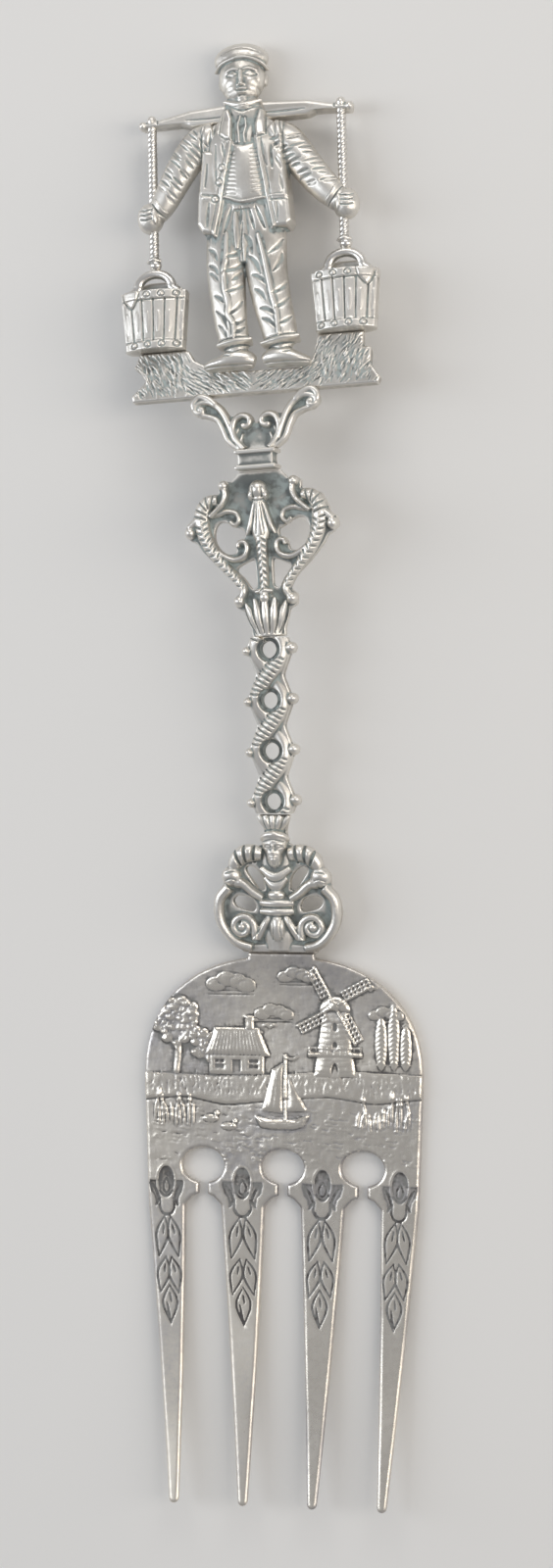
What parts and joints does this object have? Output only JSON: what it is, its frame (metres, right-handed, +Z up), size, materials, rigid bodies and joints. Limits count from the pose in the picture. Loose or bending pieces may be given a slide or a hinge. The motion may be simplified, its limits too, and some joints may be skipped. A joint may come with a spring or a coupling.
{
  "type": "fish fork",
  "caption": "Silver fish serving fork with a pierced flat blade and curved tines, a cast openwork handle, and a figural finial of a water carrier with yoke and buckets.",
  "frame": {"origin": "middle of the flat on the back of the blade, which the fork rests on", "axes": "+X to the right seen from the front, +Y from the tines to the finial, +Z up out of the front"},
  "size_m": [0.0508, 0.2489, 0.0153],
  "materials": {
    "struck_silver": "worn polish, toned silver",
    "cast_silver": "as cast and chased, dark in the recesses",
    "silver_wire": "drawn wire, worn bright"
  },
  "bodies": {
    "root": {"blade": "struck_silver", "herm_scroll": "cast_silver", "twisted_stem": "cast_silver", "serpent_cage": "cast_silver", "collar": "cast_silver", "scroll_bracket": "cast_silver", "ground": "cast_silver", "water_carrier": "cast_silver", "yoke": "cast_silver", "left_bucket": "cast_silver", "right_bucket": "cast_silver", "left_rope": "silver_wire", "right_rope": "silver_wire", "left_bail": "silver_wire", "right_bail": "silver_wire"}
  },
  "joints": []
}
